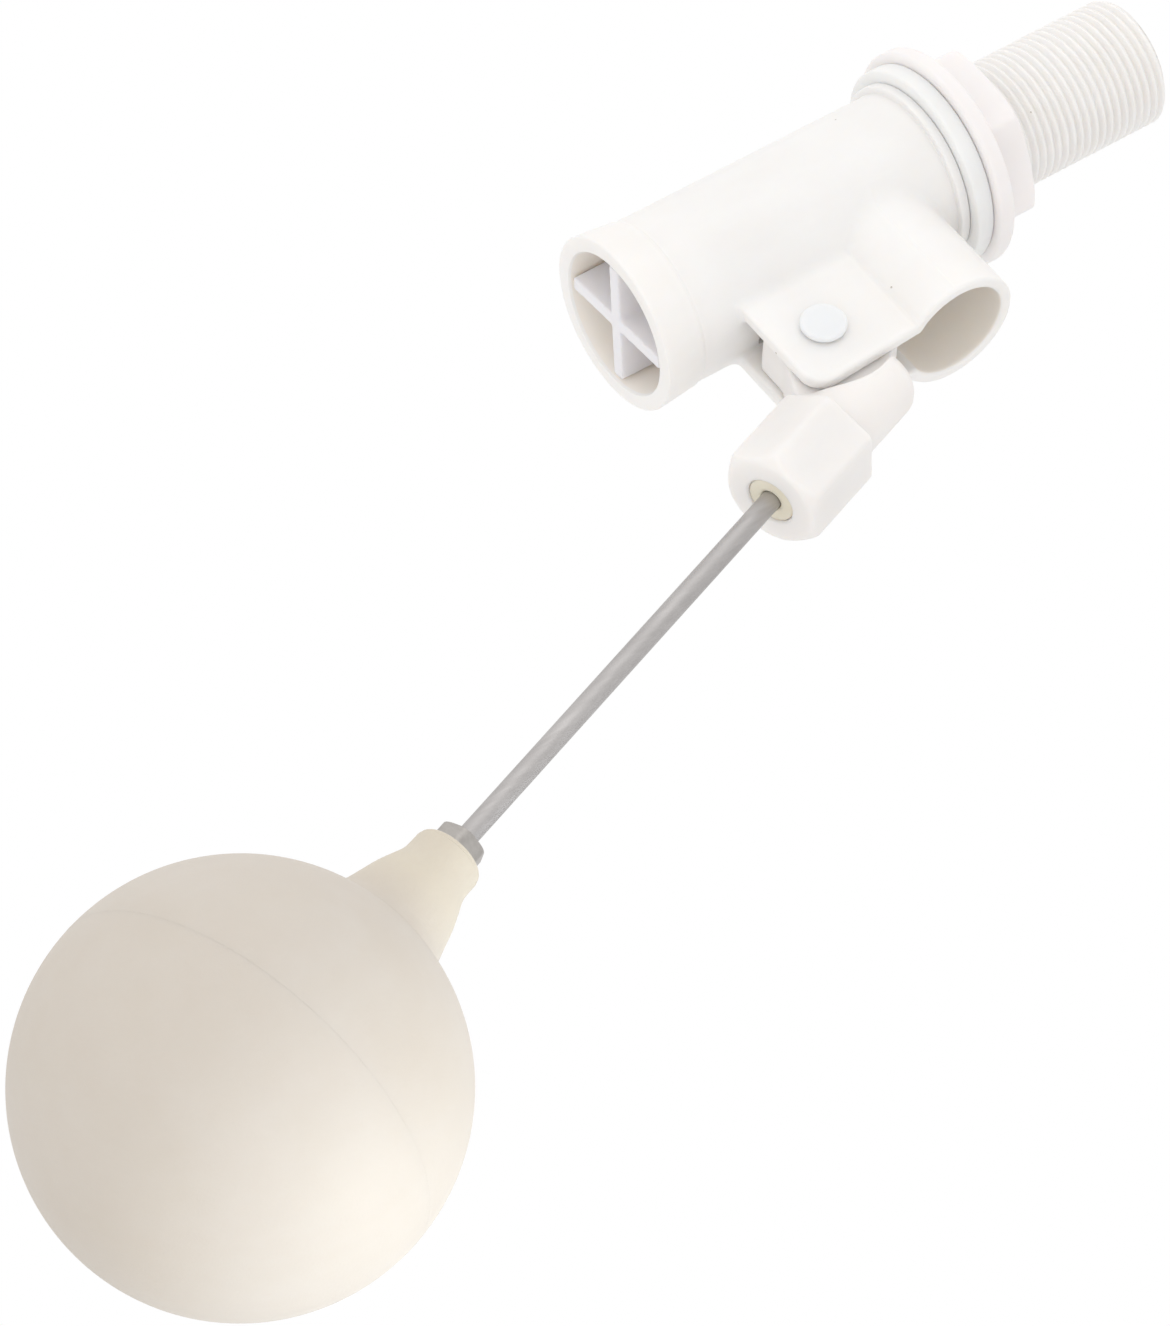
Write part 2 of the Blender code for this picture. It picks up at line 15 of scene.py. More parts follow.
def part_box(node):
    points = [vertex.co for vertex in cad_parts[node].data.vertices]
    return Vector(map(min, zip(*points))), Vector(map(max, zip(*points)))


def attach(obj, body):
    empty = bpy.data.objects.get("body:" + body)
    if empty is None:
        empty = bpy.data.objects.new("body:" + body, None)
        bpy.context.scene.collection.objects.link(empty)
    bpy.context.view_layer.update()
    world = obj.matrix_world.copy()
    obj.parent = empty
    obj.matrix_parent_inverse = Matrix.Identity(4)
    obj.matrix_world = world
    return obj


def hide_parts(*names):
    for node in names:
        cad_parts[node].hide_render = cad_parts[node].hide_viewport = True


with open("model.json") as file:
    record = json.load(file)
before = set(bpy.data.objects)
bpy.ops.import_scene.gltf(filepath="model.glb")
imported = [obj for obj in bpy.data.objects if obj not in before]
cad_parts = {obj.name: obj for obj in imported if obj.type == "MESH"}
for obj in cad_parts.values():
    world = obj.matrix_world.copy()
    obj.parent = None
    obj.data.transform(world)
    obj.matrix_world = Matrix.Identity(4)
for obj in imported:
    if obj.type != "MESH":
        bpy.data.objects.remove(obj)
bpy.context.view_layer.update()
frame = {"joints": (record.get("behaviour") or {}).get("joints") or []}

MM = 0.001
JOINTS = {joint["name"]: joint for joint in frame["joints"]}
TURN = 2 * math.pi


def span(node):
    """A CAD node's box in millimetres, as two lists."""
    low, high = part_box(node)
    return [value / MM for value in low], [value / MM for value in high]


# ---------------------------------------------------------------- frames and sizes from the CAD

PIVOT = Vector(JOINTS["arm_hinge"]["pos_m"]) / MM
ROD_WAY = Vector(JOINTS["rod_slide"]["axis"]).normalized()
ARM_TILT = math.atan2(-ROD_WAY.z, -ROD_WAY.x)
ARM = Matrix.Translation(PIVOT) @ Matrix.Rotation(-ARM_TILT, 4, "Y")
ROD_DROP = 12.35
ROD_LINE = ARM @ Matrix.Translation((0, 0, -ROD_DROP))
BALL_AWAY = 195.48
BALL = ROD_LINE @ Matrix.Translation((-BALL_AWAY, 0, 0))
WORLD = Matrix.Identity(4)

# the valve's body
BARREL_END = span("valve_body")[0][0]
INLET_END = span("valve_body")[1][0]
BARREL_R = 16.9
BORE_R = 14.5
COLLAR_R = 18.1
FLANGE_R = 18.3
THREAD_R = 13.2
INLET_BORE_R = 9.6
PITCH = 25.4 / 14
OUTLET_X = -17.36
OUTLET_OUTER = 12.75
OUTLET_INNER = 10.35
OUTLET_MOUTH = -37.2
CHEEK_FRONT = -52.4
CHEEK_FOOT = -38.7
CHEEK_CREASE = -27.1
CHEEK_OUTER = 8.0
CHEEK_INNER = 5.3
SHOULDER_X = -18.9

# the piston, its cap and the lever's slot in it
PISTON_R = 14.15
PISTON_TAIL = -69.9
CORE_R = 10.0
SPIGOT_R = 8.6
RIB_HALF = 1.5
RIB_TURN = math.radians(-7.0)
FINGER_SLOT_X = -47.3
CAP_R = 13.2
CAP_START = -33.2
CAP_END = -22.4

# the pin, and the lever in the arm's frame
PIN_R = 2.5
PIN_HEAD_R = 4.5
PIN_HOLE_R = 2.8
LEVER_HALF = 4.9
HUB_R = 7.8
BLOCK_FRONT = -8.9
BLOCK_TOP = 9.85
BOSS_END = -15.2
STUB_END = -28.5
STUB_R = 7.2
LEVER_REACH = 13.8
FINGER_LEAN = math.radians(7.6)
FINGER_REACH = 23.5
SWING = math.radians(24)

# the gland nut and the collet, along the rod's line
GLAND_FRONT = -35.08
GLAND_BACK = -15.48
GLAND_ACROSS = 19.4
GLAND_TURN_DEG = -4.7
COLLET_FRONT = -34.7
COLLET_BACK = -24.5

# the float and the rod, from the ball's centre
BALL_R = 39.97
BALL_INNER_R = 38.4
SEAM_OUT_DEG = 0.006
SEAM_IN_DEG = 0.01
NECK_R = 6.8
NECK_END = 60.5
NECK_BORE_R = 4.5
ROD_R = 2.0
ROD_START = 48.0
ROD_FAR_END = 186.0
LOCK_NUT_START = 60.8
LOCK_NUT_END = 64.4
LOCK_NUT_ACROSS = 9.0

# the nut on the inlet
BACKNUT_START = 4.0
BACKNUT_END = 16.2
BACKNUT_ACROSS = 33.8
BACKNUT_TURN_DEG = -145.5
BACKNUT_FLANGE_R = 22.6

# mesh settings
ARC_STEPS = 5
RELAX_ROUNDS = 2


# ---------------------------------------------------------------- mesh helpers

def make_object(name, points, faces, place, material):
    """A mesh object from points in millimetres, put into the row frame by place."""
    mesh = bpy.data.meshes.new(name)
    world = [place @ Vector(point) * MM for point in points]
    mesh.from_pydata(world, [], faces)
    mesh.update()
    mesh.shade_smooth()
    mesh.set_sharp_from_angle(angle=math.radians(40))
    mesh.materials.append(material)
    made = bpy.data.objects.new(name, mesh)
    bpy.context.scene.collection.objects.link(made)
    return made


def rounded(outline):
    """Replace each (x, radius, rounding) corner of a closed outline by an arc of that rounding."""
    points = []
    count = len(outline)
    for i, (x, radius, rounding) in enumerate(outline):
        here = Vector((x, radius))
        if rounding == 0:
            points.append((x, radius))
            continue
        before = Vector(outline[i - 1][:2]) - here
        after = Vector(outline[(i + 1) % count][:2]) - here
        half = before.angle(after) / 2
        reach = min(rounding / math.tan(half), before.length * 0.49, after.length * 0.49)
        start = here + before.normalized() * reach
        end = here + after.normalized() * reach
        for k in range(ARC_STEPS + 1):
            t = k / ARC_STEPS
            a = start.lerp(here, t)
            b = here.lerp(end, t)
            points.append(tuple(a.lerp(b, t)))
    return points


def wall_rows(first, radius, end, rows):
    """Extra rows along a straight wall, so that a pattern can cut into it."""
    return [(first[0] + (end - first[0]) * (i + 1) / rows, radius) for i in range(rows)]


def smooth_line(points, between):
    """A Catmull-Rom curve through the points."""
    knots = [points[0]] + points + [points[-1]]
    made = []
    for i in range(1, len(knots) - 2):
        for k in range(between):
            t = k / between
            pair = []
            for axis in (0, 1):
                a, b, c, d = (knots[i + n][axis] for n in (-1, 0, 1, 2))
                square = (2 * a - 5 * b + 4 * c - d) * t * t
                cube = (3 * b - a - 3 * c + d) * t**3
                pair.append(0.5 * (2 * b + (c - a) * t + square + cube))
            made.append(tuple(pair))
    made.append(points[-1])
    return made


def turned(name, outline, place, material, segments=128, thread=None):
    """Turn a closed outline about X. thread(x, angle) gives how deep the surface is cut there."""
    points = []
    faces = []
    rings = []
    for x, radius in outline:
        if radius < 1e-6:
            rings.append([len(points)] * segments)
            points.append((x, 0.0, 0.0))
            continue
        ring = []
        for i in range(segments):
            angle = TURN * i / segments
            cut = thread(x, angle, radius) if thread else 0.0
            ring.append(len(points))
            points.append((x, (radius - cut) * math.cos(angle), (radius - cut) * math.sin(angle)))
        rings.append(ring)
    for here, there in zip(rings, rings[1:] + rings[:1]):
        for i in range(segments):
            after = (i + 1) % segments
            corners = list(dict.fromkeys([here[i], here[after], there[after], there[i]]))
            if len(corners) > 2:
                faces.append(corners)
    made = make_object(name, points, faces, place, material)
    face_out(made)
    return made


def face_out(piece):
    """Turn a closed mesh's faces so that its volume is positive."""
    mesh = piece.data
    mesh.calc_loop_triangles()
    corners = np.array([triangle.vertices[:] for triangle in mesh.loop_triangles])
    points = np.empty(len(mesh.vertices) * 3)
    mesh.vertices.foreach_get("co", points)
    points = points.reshape(-1, 3)
    if np.linalg.det(points[corners]).sum() < 0:
        mesh.flip_normals()


def apply_modifiers(piece):
    graph = bpy.context.evaluated_depsgraph_get()
    done = bpy.data.meshes.new_from_object(piece.evaluated_get(graph))
    piece.modifiers.clear()
    piece.data = done


def slope(field, points, reach=0.01):
    """A field's gradient by central differences."""
    made = np.empty_like(points)
    for axis in range(3):
        move = np.zeros(3)
        move[axis] = reach
        made[:, axis] = (field(points + move) - field(points - move)) / (2 * reach)
    return made


def settle(field, points, most):
    """Move points onto the field's surface, each time at most this far."""
    for _ in range(4):
        way = slope(field, points)
        size = np.maximum((way**2).sum(1, keepdims=True), 0.05)
        move = field(points)[:, None] * way / size
        length = np.maximum(np.linalg.norm(move, axis=1, keepdims=True), 1e-9)
        points = points - move * np.minimum(1.0, most / length)
    return points


def moulded(name, field, low, high, step, place, material):
    """Mesh the region where the field is negative, by surface nets."""
    ticks = [np.arange(a - 2 * step, b + 3 * step, step) for a, b in zip(low, high)]
    grid = np.stack(np.meshgrid(*ticks, indexing="ij"), -1)
    shape = grid.shape[:3]
    value = field(grid.reshape(-1, 3)).reshape(shape)
    inside = value < 0
    count = np.zeros(tuple(n - 1 for n in shape), np.int8)
    for i in (0, 1):
        for j in (0, 1):
            for k in (0, 1):
                count += inside[i : shape[0] - 1 + i, j : shape[1] - 1 + j, k : shape[2] - 1 + k]
    mixed = (count > 0) & (count < 8)
    index = np.full(mixed.shape, -1)
    index[mixed] = np.arange(mixed.sum())
    corner = np.argwhere(mixed)
    points = np.stack([ticks[axis][corner[:, axis]] for axis in range(3)], 1) + step / 2
    quads = []
    for axis in range(3):
        u = (axis + 1) % 3
        v = (axis + 2) % 3
        ahead = np.moveaxis(inside, [axis, u, v], [0, 1, 2])
        cells = np.moveaxis(index, [axis, u, v], [0, 1, 2])
        crossing = ahead[:-1, 1:-1, 1:-1] != ahead[1:, 1:-1, 1:-1]
        a, b, c = np.nonzero(crossing)
        ring = [cells[a, b, c], cells[a, b + 1, c], cells[a, b + 1, c + 1], cells[a, b, c + 1]]
        quad = np.stack(ring, 1)
        leaving = ahead[:-1, 1:-1, 1:-1][a, b, c]
        quad[~leaving] = quad[~leaving][:, ::-1]
        quads.append(quad)
    quads = np.concatenate(quads)
    points = settle(field, points, step)
    for _ in range(RELAX_ROUNDS):
        centres = points[quads].mean(1)
        total = np.zeros_like(points)
        shares = np.zeros(len(points))
        for k in range(4):
            np.add.at(total, quads[:, k], centres)
            np.add.at(shares, quads[:, k], 1)
        points = settle(field, total / shares[:, None], step)
    made = make_object(name, points.tolist(), quads.tolist(), place, material)
    made.data.set_sharp_from_angle(angle=math.radians(60))
    face_out(made)
    return made


# ---------------------------------------------------------------- distance fields, in millimetres

def join(a, b, soft=0.0):
    """Union with a fillet of about this size."""
    if soft == 0:
        return np.minimum(a, b)
    h = np.maximum(soft - np.abs(a - b), 0.0) / soft
    return np.minimum(a, b) - h * h * soft / 4


def meet(a, b, soft=0.0):
    """Intersection with a rounded edge of about this size."""
    return -join(-a, -b, soft)


def rod_field(points, radius, low, high, soft=0.3):
    """A cylinder about X."""
    around = np.hypot(points[:, 1], points[:, 2]) - radius
    ends = np.maximum(low - points[:, 0], points[:, 0] - high)
    return meet(around, ends, soft)


def hexagon_field(points, across, turn_deg):
    """An endless hexagonal bar about X; the first corner is at turn_deg in the Y-Z plane."""
    best = np.full(len(points), -1e9)
    for k in range(3):
        angle = math.radians(turn_deg + 30 + 60 * k)
        flat = np.abs(points[:, 1] * math.cos(angle) + points[:, 2] * math.sin(angle)) - across / 2
        best = meet(best, flat, 0.9) if k else flat
    return best


def thread_wave(turns):
    """A rounded 55-degree pipe thread: 0 at the crest, 1 at the root."""
    fold = np.abs((turns % 1.0) * 2 - 1)
    steep = np.clip((fold - 0.16) / 0.68, 0.0, 1.0)
    return 0.5 - 0.5 * np.cos(np.pi * steep)


# ---------------------------------------------------------------- materials

def shader_of(name, roughness, metallic=0.0, subsurface=0.0):
    """A new material, its node tree and its Principled shader."""
    made = bpy.data.materials.new(name)
    made.use_nodes = True
    shader = made.node_tree.nodes["Principled BSDF"]
    shader.inputs["Roughness"].default_value = roughness
    shader.inputs["Metallic"].default_value = metallic
    shader.inputs["Subsurface Weight"].default_value = subsurface
    shader.inputs["Subsurface Radius"].default_value = (1.0, 0.85, 0.7)
    shader.inputs["Subsurface Scale"].default_value = 0.004
    return made, made.node_tree, shader


def feed(tree, socket, value):
    """Link another node's output to the socket, or set a constant on it."""
    if isinstance(value, bpy.types.NodeSocket):
        tree.links.new(value, socket)
    else:
        socket.default_value = value


def number(tree, operation, first, second):
    """The result of a Math node."""
    made = tree.nodes.new("ShaderNodeMath")
    made.operation = operation
    feed(tree, made.inputs[0], first)
    feed(tree, made.inputs[1], second)
    return made.outputs["Value"]


def vector(tree, operation, first, second=(0, 0, 0)):
    """The result of a Vector Math node."""
    made = tree.nodes.new("ShaderNodeVectorMath")
    made.operation = operation
    feed(tree, made.inputs[0], first)
    feed(tree, made.inputs[1], second)
    single = operation in ("DISTANCE", "DOT_PRODUCT", "LENGTH")
    return made.outputs["Value" if single else "Vector"]


def noise(tree, coordinates, scale, detail=3.0, rough=0.5, stretch=None):
    """Fractal noise, from 0 to 1."""
    if stretch:
        mapping = tree.nodes.new("ShaderNodeMapping")
        mapping.inputs["Scale"].default_value = stretch
        tree.links.new(coordinates, mapping.inputs["Vector"])
        coordinates = mapping.outputs["Vector"]
    made = tree.nodes.new("ShaderNodeTexNoise")
    made.inputs["Scale"].default_value = scale
    made.inputs["Detail"].default_value = detail
    made.inputs["Roughness"].default_value = rough
    tree.links.new(coordinates, made.inputs["Vector"])
    return made.outputs["Fac"]


def ramp(tree, source, stops):
    """Colour ramp with (place, colour) stops."""
    made = tree.nodes.new("ShaderNodeValToRGB")
    elements = made.color_ramp.elements
    while len(elements) < len(stops):
        elements.new(0.5)
    for element, (place, colour) in zip(elements, stops):
        element.position = place
        element.color = (*colour, 1.0)
    tree.links.new(source, made.inputs["Fac"])
    return made.outputs["Color"]


def blend_colours(tree, share, a, b):
    """Colour a where share is 0 and b where it is 1."""
    made = tree.nodes.new("ShaderNodeMix")
    made.data_type = "RGBA"
    tree.links.new(share, made.inputs["Factor"])
    for socket, value in ((made.inputs[6], a), (made.inputs[7], b)):
        feed(tree, socket, (*value, 1.0) if isinstance(value, tuple) else value)
    return made.outputs[2]


def specks(tree, coordinates, scale, size):
    """Small dark flecks: 1 inside a fleck, 0 elsewhere."""
    cells = tree.nodes.new("ShaderNodeTexVoronoi")
    cells.inputs["Scale"].default_value = scale
    tree.links.new(coordinates, cells.inputs["Vector"])
    picked = tree.nodes.new("ShaderNodeSeparateColor")
    tree.links.new(cells.outputs["Color"], picked.inputs["Color"])
    rare = number(tree, "GREATER_THAN", picked.outputs["Red"], 0.93)
    near = number(tree, "LESS_THAN", cells.outputs["Distance"], size)
    return number(tree, "MULTIPLY", rare, near)


def bump(tree, shader, height, strength, distance):
    """Fine relief on the shader's normal."""
    made = tree.nodes.new("ShaderNodeBump")
    made.inputs["Strength"].default_value = strength
    made.inputs["Distance"].default_value = distance
    tree.links.new(height, made.inputs["Height"])
    tree.links.new(made.outputs["Normal"], shader.inputs["Normal"])


def vary(tree, source, low, high):
    """A number that follows a 0..1 source between low and high."""
    made = tree.nodes.new("ShaderNodeMapRange")
    made.inputs["From Min"].default_value = 0.25
    made.inputs["From Max"].default_value = 0.75
    made.inputs["To Min"].default_value = low
    made.inputs["To Max"].default_value = high
    tree.links.new(source, made.inputs["Value"])
    return made.outputs["Result"]


def object_space(tree):
    return tree.nodes.new("ShaderNodeTexCoord").outputs["Object"]


def within(tree, coordinates, centre, across, radius, way, depth):
    """1 inside a round bore: near the axis through centre, and deeper than depth along way."""
    offset = vector(tree, "MULTIPLY", vector(tree, "SUBTRACT", coordinates, centre), across)
    near = number(tree, "LESS_THAN", vector(tree, "LENGTH", offset), radius)
    past = number(tree, "GREATER_THAN", vector(tree, "DOT_PRODUCT", coordinates, way), depth)
    return number(tree, "MULTIPLY", near, past)


def plastic(name, pale, dull, roughness, grain=0.05, bores=()):
    """Moulded plastic: slow flow mottling, satin grain and a few tiny flecks; painted warm shade in its
    bores.
    """
    made, tree, shader = shader_of(name, roughness, subsurface=0.4)
    where = object_space(tree)
    flow = noise(tree, where, 55.0, 4.0, 0.55, stretch=(0.7, 1.2, 1.2))
    colour = ramp(tree, flow, [(0.30, dull), (0.62, pale)])
    # painted shade: a warmer, slightly darker colour inside each bore stands in for the shade there
    for bore in bores:
        colour = blend_colours(tree, within(tree, where, *bore), colour, BORE_PAINTED_SHADE)
    cloud = noise(tree, where, 420.0, 3.0)
    colour = blend_colours(tree, vary(tree, cloud, 0.0, 0.16), colour, dull)
    colour = blend_colours(tree, specks(tree, where, 230.0, 0.055), colour, FLECK)
    tree.links.new(colour, shader.inputs["Base Color"])
    tree.links.new(vary(tree, flow, roughness - 0.05, roughness + 0.07), shader.inputs["Roughness"])
    fine = noise(tree, where, 2600.0, 2.0)
    bump(tree, shader, fine, grain, 0.0003)
    return made


def metal(name, pale, dark, roughness, stretch):
    """Drawn or turned metal with streaks along one way."""
    made, tree, shader = shader_of(name, roughness, metallic=1.0)
    where = object_space(tree)
    streak = noise(tree, where, 900.0, 4.0, 0.6, stretch=stretch)
    cloud = noise(tree, where, 90.0, 3.0)
    colour = ramp(tree, streak, [(0.32, dark), (0.68, pale)])
    colour = blend_colours(tree, vary(tree, cloud, 0.0, 0.4), colour, dark)
    tree.links.new(colour, shader.inputs["Base Color"])
    tree.links.new(vary(tree, cloud, roughness - 0.06, roughness + 0.1), shader.inputs["Roughness"])
    bump(tree, shader, streak, 0.12, 0.0002)
    return made


def rubber(name):
    """Black rubber with a faint grey bloom."""
    made, tree, shader = shader_of(name, 0.7)
    where = object_space(tree)
    bloom = noise(tree, where, 160.0, 5.0, 0.6)
    shade = ramp(tree, bloom, [(0.3, (0.018, 0.018, 0.019)), (0.8, (0.06, 0.06, 0.06))])
    tree.links.new(shade, shader.inputs["Base Color"])
    tree.links.new(vary(tree, bloom, 0.6, 0.82), shader.inputs["Roughness"])
    bump(tree, shader, noise(tree, where, 1800.0, 3.0), 0.15, 0.0003)
    return made


FLECK = (0.58, 0.54, 0.49)
# painted warm shade for the insides of the bores, not a colour of the plastic
BORE_PAINTED_SHADE = (0.90, 0.85, 0.79)
# where the painted shade goes, as (centre, across, radius, way, depth) for within
PAINTED_SHADE_BORES = (
    ((0, 0, 0), (0, 1, 1), (BORE_R + 0.13) * MM, (-1, 0, 0), 0.004),
    ((OUTLET_X * MM, 0, 0), (1, 1, 0), (OUTLET_INNER + 0.08) * MM, (0, 0, -1), 0.0165),
)
BODY_WHITE = plastic("body_white", (0.915, 0.90, 0.885), (0.885, 0.862, 0.84), 0.42, bores=PAINTED_SHADE_BORES)
NUT_WHITE = plastic("backnut_white", (0.91, 0.88, 0.875), (0.88, 0.845, 0.84), 0.44)
WASHER_WHITE = plastic("washer_white", (0.90, 0.90, 0.89), (0.85, 0.85, 0.84), 0.55, grain=0.1)
LEVER_WHITE = plastic("lever_white", (0.89, 0.865, 0.845), (0.86, 0.83, 0.81), 0.44)
PISTON_WHITE = plastic("piston_white", (0.86, 0.85, 0.88), (0.82, 0.81, 0.845), 0.40)
PIN_WHITE = plastic("pin_white", (0.87, 0.885, 0.90), (0.84, 0.855, 0.87), 0.40)
COLLET_CREAM = plastic("collet_cream", (0.86, 0.80, 0.66), (0.80, 0.72, 0.56), 0.45)
SEAL_BLACK = rubber("seal_black")
ROD_STEEL = metal("rod_steel", (0.56, 0.545, 0.54), (0.48, 0.465, 0.46), 0.48, (0.04, 1.0, 1.0))
NUT_STEEL = metal("nut_steel", (0.52, 0.50, 0.48), (0.42, 0.40, 0.38), 0.42, (1.0, 1.0, 0.2))
BRASS = metal("insert_brass", (0.72, 0.56, 0.27), (0.55, 0.40, 0.17), 0.32, (0.2, 1.0, 1.0))


def float_cream():
    """Blow-moulded float: matt cream, yellower towards the neck."""
    pale = (0.65, 0.605, 0.55)
    dull = (0.61, 0.555, 0.485)
    made, tree, shader = shader_of("float_cream", 0.55, subsurface=0.1)
    where = object_space(tree)
    away = vector(tree, "DISTANCE", where, BALL.translation * MM)
    neck = tree.nodes.new("ShaderNodeMapRange")
    neck.inputs["From Min"].default_value = 0.0405
    neck.inputs["From Max"].default_value = 0.050
    neck.inputs["To Max"].default_value = 0.75
    tree.links.new(away, neck.inputs["Value"])
    flow = noise(tree, where, 26.0, 5.0, 0.6)
    colour = ramp(tree, flow, [(0.3, dull), (0.7, pale)])
    colour = blend_colours(tree, neck.outputs["Result"], colour, (0.70, 0.64, 0.52))
    streak = noise(tree, where, 160.0, 4.0, 0.6, stretch=(0.12, 1.0, 0.5))
    colour = blend_colours(tree, vary(tree, streak, 0.0, 0.35), colour, (0.60, 0.535, 0.47))
    colour = blend_colours(tree, specks(tree, where, 105.0, 0.055), colour, (0.42, 0.36, 0.30))
    tree.links.new(colour, shader.inputs["Base Color"])
    tree.links.new(vary(tree, flow, 0.5, 0.62), shader.inputs["Roughness"])
    bump(tree, shader, noise(tree, where, 1500.0, 3.0), 0.12, 0.0004)
    return made


FLOAT_CREAM = float_cream()


# ---------------------------------------------------------------- the valve's body

def hood_field(points):
    """The keyhole hood with its fillet to the barrel, and only that much of the barrel's wall."""
    x, y, z = points.T
    side = np.abs(y)
    away = np.hypot(x - OUTLET_X, y)
    cheeks = np.maximum(side - CHEEK_OUTER, x - OUTLET_X)
    lean = math.atan2(12.6 - CHEEK_OUTER, SHOULDER_X - CHEEK_CREASE)
    wedge = (side - CHEEK_OUTER) * math.cos(lean) - (x - CHEEK_CREASE) * math.sin(lean)
    wedge = np.maximum(wedge, x - SHOULDER_X)
    outer = join(join(cheeks, wedge), away - OUTLET_OUTER, 0.5)
    channel = np.maximum(side - CHEEK_INNER, x - OUTLET_X)
    inner = join(channel, away - OUTLET_INNER, 0.6)
    wall = np.maximum(outer, -inner)
    foot = np.minimum(CHEEK_FOOT + (x + 47.4) * 0.0673, OUTLET_MOUTH)
    corner = 5.0
    ahead = CHEEK_FRONT + corner - x
    below = foot + corner - z
    rim = np.where((ahead > 0) & (below > 0), np.hypot(ahead, below), np.maximum(ahead, below)) - corner
    hood = meet(wall, rim, 0.7)
    around = np.hypot(y, z)
    fillet = 1.6
    shape = join(hood, around - (BARREL_R - 0.02), fillet)
    shape = np.maximum(shape, hood - fillet - 0.3)
    shape = np.maximum(shape, BARREL_R - 0.8 - around)
    shape = np.maximum(shape, z + 2.0)
    pin = np.hypot(x - PIVOT.x, z - PIVOT.z)
    return meet(shape, PIN_HOLE_R - pin, 0.3)


def spigot_thread(x, angle, radius):
    """Cut depth of the inlet thread: it fades out by the flange and at the chamfered end."""
    if radius < THREAD_R - 1.3 or x < 0.1:
        return 0.0
    crest = float(thread_wave(np.float64(x / PITCH - angle / TURN)))
    start = min(max((x - 1.2) / 1.2, 0.0), 1.0)
    most = radius - (THREAD_R - 1.16)
    return max(0.0, min(1.16 * crest * start - (THREAD_R - radius), most))


def slot_field(points):
    """The lever finger's way through the barrel's wall."""
    x, y, z = points.T
    plan = meet(np.abs(x + 42.3) - 6.2, np.abs(y) - 4.2, 1.2)
    return np.maximum(plan, np.abs(z + 15.5) - 3.0)


def port_field(points):
    """The water's way from the barrel into the outlet tube."""
    x, y, z = points.T
    return np.maximum(np.hypot(x - OUTLET_X, y) - 9.5, np.abs(z + 14.0) - 7.0)


def valve_body():
    """Barrel, flange and threaded inlet turned as one, with the hood joined on and its ports cut."""
    tube = rounded(
        [
            (BARREL_END, BORE_R + 0.35, 0.25),
            (BARREL_END, COLLAR_R, 0.55),
            (-61.9, 17.28, 0.5),
            (-61.2, BARREL_R, 0.6),
            (-2.0, BARREL_R, 0.35),
            (-2.0, FLANGE_R, 0.35),
            (0.0, FLANGE_R, 0.35),
            (0.0, THREAD_R, 0.0),
        ]
    )
    rows = int(round((INLET_END - 1.1) / 0.13))
    tube += [(0.1 + (INLET_END - 1.2) * i / rows, THREAD_R) for i in range(rows + 1)]
    tube += [(INLET_END - 1.0 + 0.125 * i, THREAD_R - 0.11 * i) for i in range(8)]
    tube += rounded(
        [
            (INLET_END, THREAD_R - 1.0, 0.2),
            (INLET_END, INLET_BORE_R, 0.4),
            (-5.0, INLET_BORE_R, 0.0),
            (-5.0, BORE_R, 0.4),
            (BARREL_END + 0.8, BORE_R, 0.0),
        ]
    )
    body = turned("valve_body_looks", tube, WORLD, BODY_WHITE, 160, spigot_thread)
    low = (CHEEK_FRONT - 2.5, -16.0, CHEEK_FOOT)
    high = (-2.0, 16.0, -2.0)
    hood = moulded("hood", hood_field, low, high, 0.36, WORLD, BODY_WHITE)
    slot = moulded("slot", slot_field, (-49, -5, -18), (-36, 5, -12), 0.5, WORLD, BODY_WHITE)
    port = moulded("port", port_field, (-27, -10, -22), (-7, 10, -6), 0.5, WORLD, BODY_WHITE)
    for other, how in ((hood, "UNION"), (slot, "DIFFERENCE"), (port, "DIFFERENCE")):
        step = body.modifiers.new(other.name, "BOOLEAN")
        step.operation = how
        step.solver = "MANIFOLD"
        step.object = other
    apply_modifiers(body)
    for other in (hood, slot, port):
        bpy.data.objects.remove(other)
    body.data.set_sharp_from_angle(angle=math.radians(42))
    return body


# ---------------------------------------------------------------- turned pieces

def tank_washer():
    """The sealing disc, squeezed so that it bulges a little past the solid's two faces."""
    low, high = span("tank_washer")
    front = low[0] - 0.2
    back = high[0] + 0.2
    outline = [(front, 13.6, 0.3), (front, 20.7, 0.6), (back, 20.7, 0.6), (back, 13.6, 0.3)]
    return turned("tank_washer_looks", rounded(outline), WORLD, WASHER_WHITE)


def seat_nozzle():
    """The nozzle with its sealing lip at -X and a groove for the ring seal."""
    outline = [
        (-14.0, 5.4, 0.4),
        (-13.4, 6.2, 0.5),
        (-11.5, 6.5, 0.5),
        (-8.3, 6.5, 0.5),
        (-8.3, 14.1, 0.4),
        (-5.3, 14.1, 0.4),
        (-5.3, 9.3, 0.2),
        (1.2, 9.3, 0.15),
        (1.2, 7.6, 0.2),
        (3.2, 7.6, 0.2),
        (3.2, 9.3, 0.15),
        (7.6, 9.3, 0.4),
        (8.0, 6.6, 0.5),
        (0.0, 4.5, 0.8),
        (-13.8, 4.5, 0.3),
    ]
    return turned("seat_nozzle_looks", rounded(outline), WORLD, BODY_WHITE, 112)


def nozzle_oring():
    section = []
    for i in range(20):
        angle = TURN * i / 20
        section.append((2.2 + 0.69 * math.cos(angle), 8.6 + 0.69 * math.sin(angle)))
    return turned("nozzle_oring_looks", section, WORLD, SEAL_BLACK, 96)


